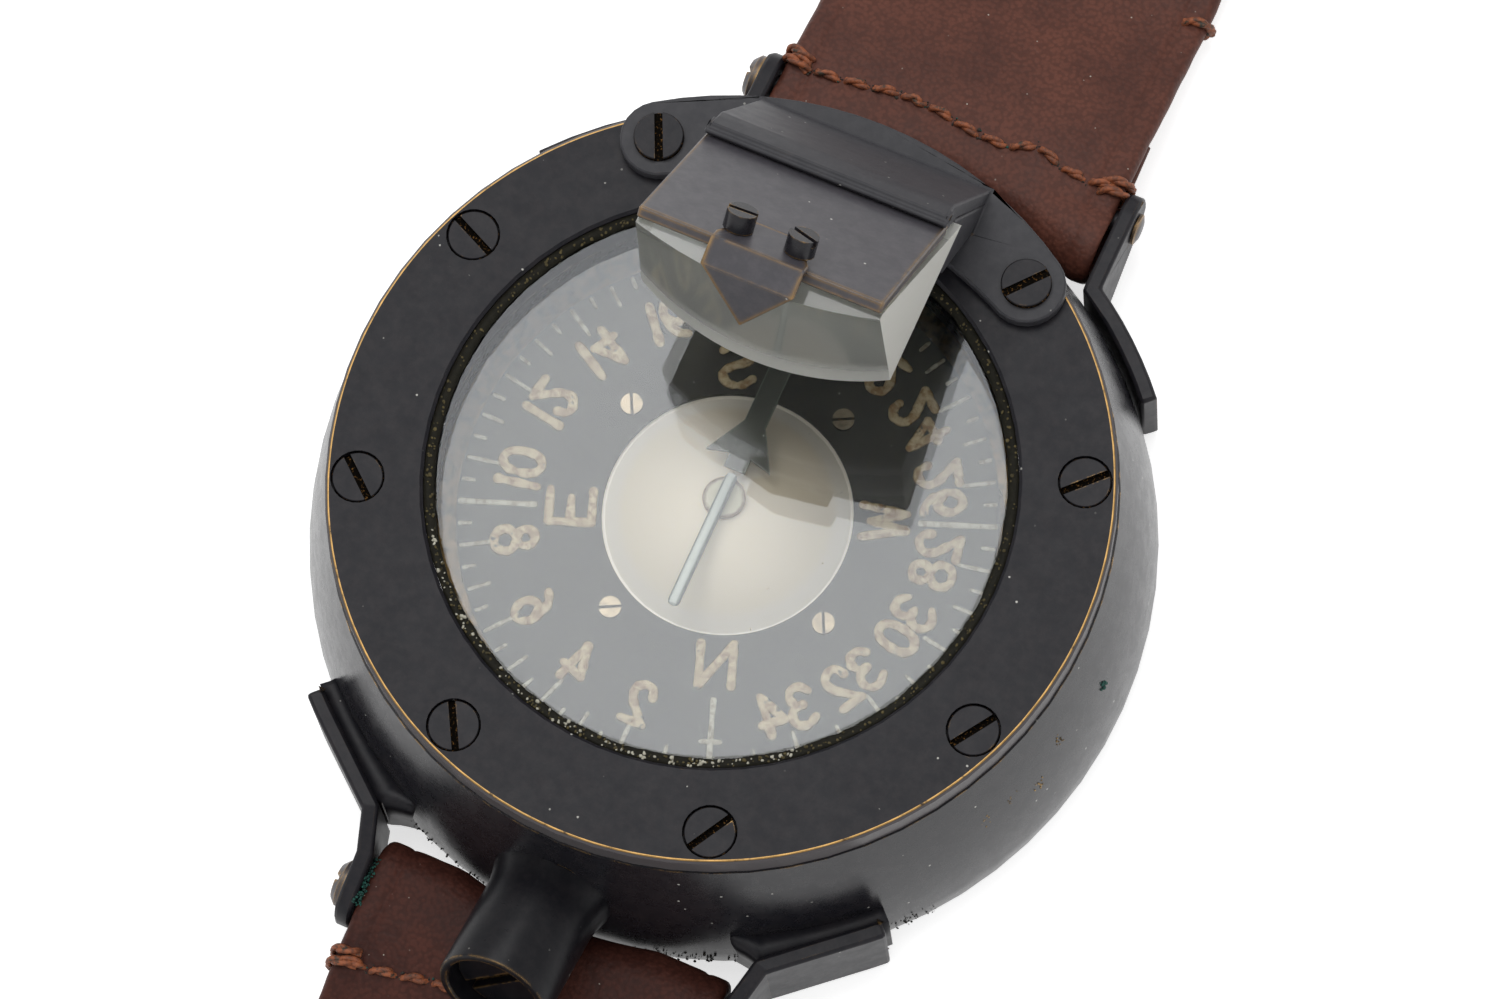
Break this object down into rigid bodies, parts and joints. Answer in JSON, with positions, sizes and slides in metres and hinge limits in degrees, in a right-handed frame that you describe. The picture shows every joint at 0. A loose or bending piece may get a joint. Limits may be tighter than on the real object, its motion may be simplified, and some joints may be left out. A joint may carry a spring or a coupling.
{
  "type": "wrist compass",
  "caption": "Liquid-filled wrist compass with a reading prism on a bracket over the dial, a side filler boss and a leather strap with buckle.",
  "frame": {"origin": "centre of the flat back of the case", "axes": "+Z out of the cover glass, +Y from the dial's centre to the prism, +X to the right when the prism is on top"},
  "size_m": [0.0836, 0.3532, 0.0574],
  "materials": {
    "bronzed_brass": "black chemical bronzing, satin, brass showing on worn edges",
    "worn_brass": "bare, tarnished",
    "steel": "ground",
    "leather": "red-brown, worn, waxed",
    "clear_glass": "polished",
    "black_packing": "aged, dusty",
    "card_black": "matt black with faded cream figures",
    "float_cream": "cream lacquer",
    "lubber_grey": "grey, half gloss"
  },
  "bodies": {
    "case": {"case_bowl": "bronzed_brass", "filler_boss": "bronzed_brass", "filler_washer": "leather", "filler_plug": "worn_brass", "back_plate": "bronzed_brass", "expansion_diaphragm": "worn_brass", "glass_gasket": "black_packing", "cover_glass": "clear_glass", "bezel_ring": "bronzed_brass", "bezel_screw_1": "bronzed_brass", "bezel_screw_2": "bronzed_brass", "bezel_screw_3": "bronzed_brass", "bezel_screw_4": "bronzed_brass", "bezel_screw_5": "bronzed_brass", "bezel_screw_6": "bronzed_brass", "pivot_plate": "worn_brass", "pivot_post": "steel", "lubber_arrow": "lubber_grey", "lubber_tube": "clear_glass", "prism_bracket": "bronzed_brass", "prism": "clear_glass", "prism_cover_plate": "bronzed_brass", "index_clip": "bronzed_brass", "bracket_screw_left": "bronzed_brass", "bracket_screw_right": "bronzed_brass", "index_screw_left": "bronzed_brass", "index_screw_right": "bronzed_brass", "lug_upper_left": "bronzed_brass", "lug_upper_right": "bronzed_brass", "lug_lower_left": "bronzed_brass", "lug_lower_right": "bronzed_brass", "strap_pin_upper": "worn_brass", "strap_pin_lower": "worn_brass"},
    "card": {"card_disc": "card_black", "float_dome": "float_cream", "pivot_cap": "float_cream", "card_screw_1": "worn_brass", "card_screw_2": "worn_brass", "card_screw_3": "worn_brass", "card_screw_4": "worn_brass", "magnet_left": "steel", "magnet_right": "steel"},
    "upper_strap": {"strap_upper": "leather", "keeper_fixed": "leather"},
    "lower_strap": {"strap_lower": "leather"},
    "buckle": {"buckle_frame": "worn_brass"},
    "prong": {"buckle_prong": "worn_brass"},
    "loose_keeper": {"keeper_loose": "leather"}
  },
  "joints": [
    {"name": "card_spin", "type": "hinge", "parent": "case", "child": "card", "pos_m": [0, 0, 0.0145], "axis": [0, 0, 1], "continuous": true},
    {"name": "upper_strap_swing", "type": "hinge", "parent": "case", "child": "upper_strap", "pos_m": [0.0035, 0.0446, 0.0072], "axis": [1, 0, 0], "range_deg": [-75, 60]},
    {"name": "lower_strap_swing", "type": "hinge", "parent": "case", "child": "lower_strap", "pos_m": [0.0001, -0.0466, 0.005], "axis": [-1, 0, 0], "range_deg": [-75, 0]},
    {"name": "buckle_swing", "type": "hinge", "parent": "upper_strap", "child": "buckle", "pos_m": [0.0035, 0.1226, 0.0035], "axis": [1, 0, 0], "range_deg": [-60, 60]},
    {"name": "prong_swing", "type": "hinge", "parent": "buckle", "child": "prong", "pos_m": [0.0035, 0.1226, 0.0035], "axis": [1, 0, 0], "range_deg": [0, 60]},
    {"name": "keeper_slide", "type": "slide", "parent": "upper_strap", "child": "loose_keeper", "axis": [0, 1, 0], "range_m": [-0.004, 0.008]}
  ]
}
